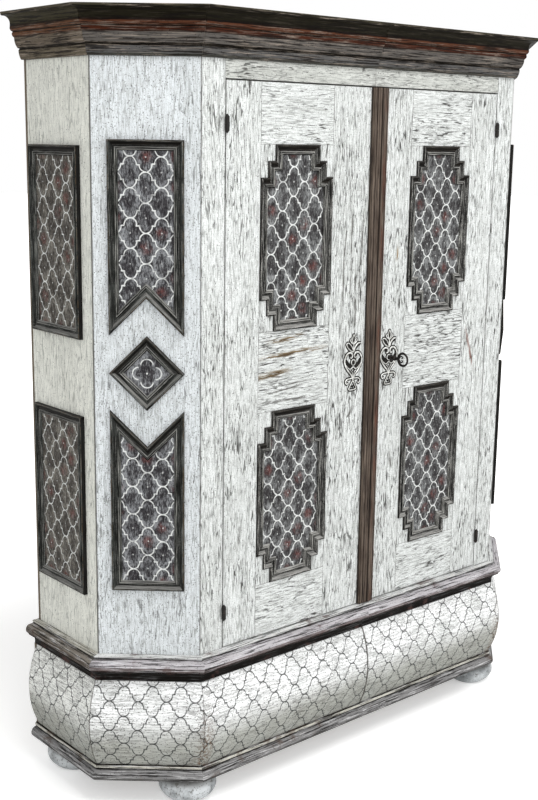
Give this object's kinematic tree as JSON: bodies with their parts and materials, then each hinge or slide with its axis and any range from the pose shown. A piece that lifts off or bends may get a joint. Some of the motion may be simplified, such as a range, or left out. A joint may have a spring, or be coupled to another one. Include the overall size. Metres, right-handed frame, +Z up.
{
  "type": "painted cupboard",
  "caption": "Tall painted storage cupboard with hinged doors, canted front corners, stepped panel mouldings, deep cornice, bulged base and bun feet.",
  "frame": {"origin": "on the floor, at the middle of the bounding box", "axes": "+Z up, +X to the right of somebody facing the doors, the front looks along -Y"},
  "size_m": [1.626, 0.536, 1.96],
  "materials": {
    "white_painted_wood": "worn crackled white paint",
    "banded_moulding_paint": "worn grey, oxblood and olive bands",
    "dark_moulding_paint": "worn charcoal paint",
    "painted_field": "grey paint with a white trellis",
    "bare_wood": "bare aged softwood",
    "meeting_bar_paint": "worn brown paint",
    "forged_iron": "blackened",
    "silvered_plate": "tarnished",
    "grey_painted_wood": "worn grey-white paint"
  },
  "bodies": {
    "root": {"back_boards": "bare_wood", "base_back": "bare_wood", "bottom_board": "bare_wood", "bulged_base_left": "white_painted_wood", "bulged_base_right": "white_painted_wood", "bun_feet": "grey_painted_wood", "canted_board_left": "white_painted_wood", "canted_board_right": "white_painted_wood", "canted_panel_frames_left": "dark_moulding_paint", "canted_panel_frames_right": "dark_moulding_paint", "canted_panels_left": "painted_field", "canted_panels_right": "painted_field", "cornice_left": "banded_moulding_paint", "cornice_right": "banded_moulding_paint", "cupboard_floor": "bare_wood", "frieze_left": "white_painted_wood", "frieze_right": "white_painted_wood", "hanging_stile_left": "white_painted_wood", "hanging_stile_right": "white_painted_wood", "hinge_pins_left": "forged_iron", "hinge_pins_right": "forged_iron", "joining_battens": "bare_wood", "plinth_moulding_left": "banded_moulding_paint", "plinth_moulding_right": "banded_moulding_paint", "shelf_cleats": "bare_wood", "shelves": "bare_wood", "side_board_left": "white_painted_wood", "side_board_right": "white_painted_wood", "side_panel_frames_left": "dark_moulding_paint", "side_panel_frames_right": "dark_moulding_paint", "side_panels_left": "painted_field", "side_panels_right": "painted_field", "top_board": "bare_wood", "waist_moulding_left": "banded_moulding_paint", "waist_moulding_right": "banded_moulding_paint"},
    "left_door": {"left_door_bolt_plates": "forged_iron", "left_door_corner_blocks": "white_painted_wood", "left_door_hinge_sockets": "forged_iron", "left_door_hinge_stile": "white_painted_wood", "left_door_meeting_bead": "meeting_bar_paint", "left_door_meeting_stile": "white_painted_wood", "left_door_panel_mouldings": "dark_moulding_paint", "left_door_panels": "painted_field", "left_door_rails": "white_painted_wood", "left_escutcheon": "silvered_plate", "lock_keeper": "forged_iron"},
    "right_door": {"lock_case": "forged_iron", "meeting_bar": "meeting_bar_paint", "right_door_corner_blocks": "white_painted_wood", "right_door_hinge_sockets": "forged_iron", "right_door_hinge_stile": "white_painted_wood", "right_door_meeting_stile": "white_painted_wood", "right_door_panel_mouldings": "dark_moulding_paint", "right_door_panels": "painted_field", "right_door_rails": "white_painted_wood", "right_escutcheon": "silvered_plate"},
    "key": {"key": "forged_iron"},
    "lock_bolt": {"lock_bolt": "forged_iron"},
    "left_top_bolt": {"left_top_bolt": "forged_iron"},
    "left_bottom_bolt": {"left_bottom_bolt": "forged_iron"}
  },
  "joints": [
    {"name": "left_door_hinge", "type": "hinge", "parent": "root", "child": "left_door", "pos_m": [-0.4905, -0.201, 1.1], "axis": [0, 0, -1], "range_deg": [0, 170]},
    {"name": "right_door_hinge", "type": "hinge", "parent": "root", "child": "right_door", "pos_m": [0.4905, -0.201, 1.1], "axis": [0, 0, 1], "range_deg": [0, 170]},
    {"name": "key_turn", "type": "hinge", "parent": "right_door", "child": "key", "pos_m": [0.084, -0.195, 1.096], "axis": [0, -1, 0], "range_deg": [0, 360]},
    {"name": "lock_bolt_slide", "type": "slide", "parent": "right_door", "child": "lock_bolt", "axis": [-1, 0, 0], "range_m": [0, 0.014]},
    {"name": "top_bolt_slide", "type": "slide", "parent": "left_door", "child": "left_top_bolt", "axis": [0, 0, 1], "range_m": [0, 0.02]},
    {"name": "bottom_bolt_slide", "type": "slide", "parent": "left_door", "child": "left_bottom_bolt", "axis": [0, 0, -1], "range_m": [0, 0.02]}
  ],
  "couplings": [
    {"joint": "key_turn", "follows": "lock_bolt_slide", "rad_per_m": 448.79}
  ]
}
